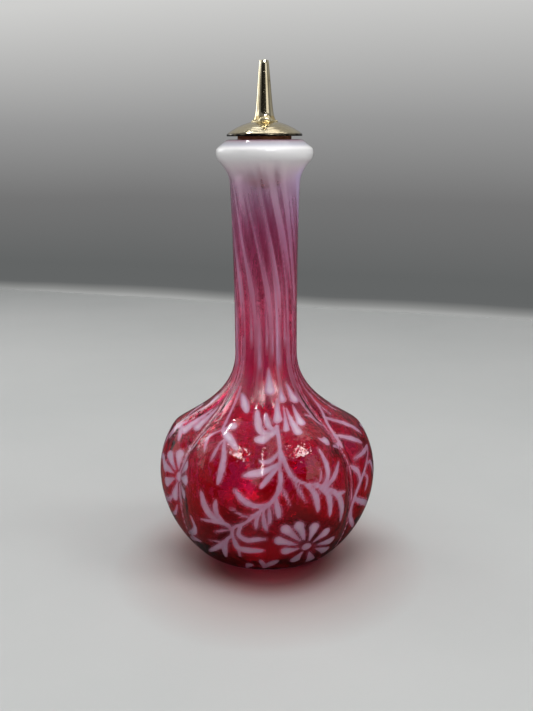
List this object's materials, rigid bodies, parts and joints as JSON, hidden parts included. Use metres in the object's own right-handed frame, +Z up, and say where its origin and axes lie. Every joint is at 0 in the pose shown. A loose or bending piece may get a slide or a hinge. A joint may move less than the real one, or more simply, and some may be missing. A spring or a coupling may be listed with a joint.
{
  "type": "barber bottle",
  "caption": "Blown glass barber bottle with a lobed bulb, long flared neck and rolled lip, closed by a tapered cork that carries a domed metal pourer with a slim spout.",
  "frame": {"origin": "centre of the foot ring, on the surface that the bottle stands on", "axes": "+Z up along the axis of the bottle, +X through the crown of a lobe"},
  "size_m": [0.0916, 0.0856, 0.206],
  "materials": {
    "ruby_glass": "glossy ruby glass with milky white ornament, milky lip",
    "cork": "matt natural cork, darkened by use",
    "plated_metal": "polished warm nickel plate, lightly pitted"
  },
  "bodies": {
    "bottle": {"glass_bottle": "ruby_glass"},
    "stopper": {"cork": "cork"},
    "pourer": {"dome_cap": "plated_metal", "spout": "plated_metal", "stem_tube": "plated_metal", "stem_washer": "plated_metal"}
  },
  "joints": [
    {"name": "stopper_lift", "type": "slide", "parent": "bottle", "child": "stopper", "axis": [0, 0, 1], "range_m": [0, 0.04]},
    {"name": "pourer_turn", "type": "hinge", "parent": "stopper", "child": "pourer", "pos_m": [0, 0, 0.165], "axis": [0, 0, 1], "continuous": true}
  ]
}
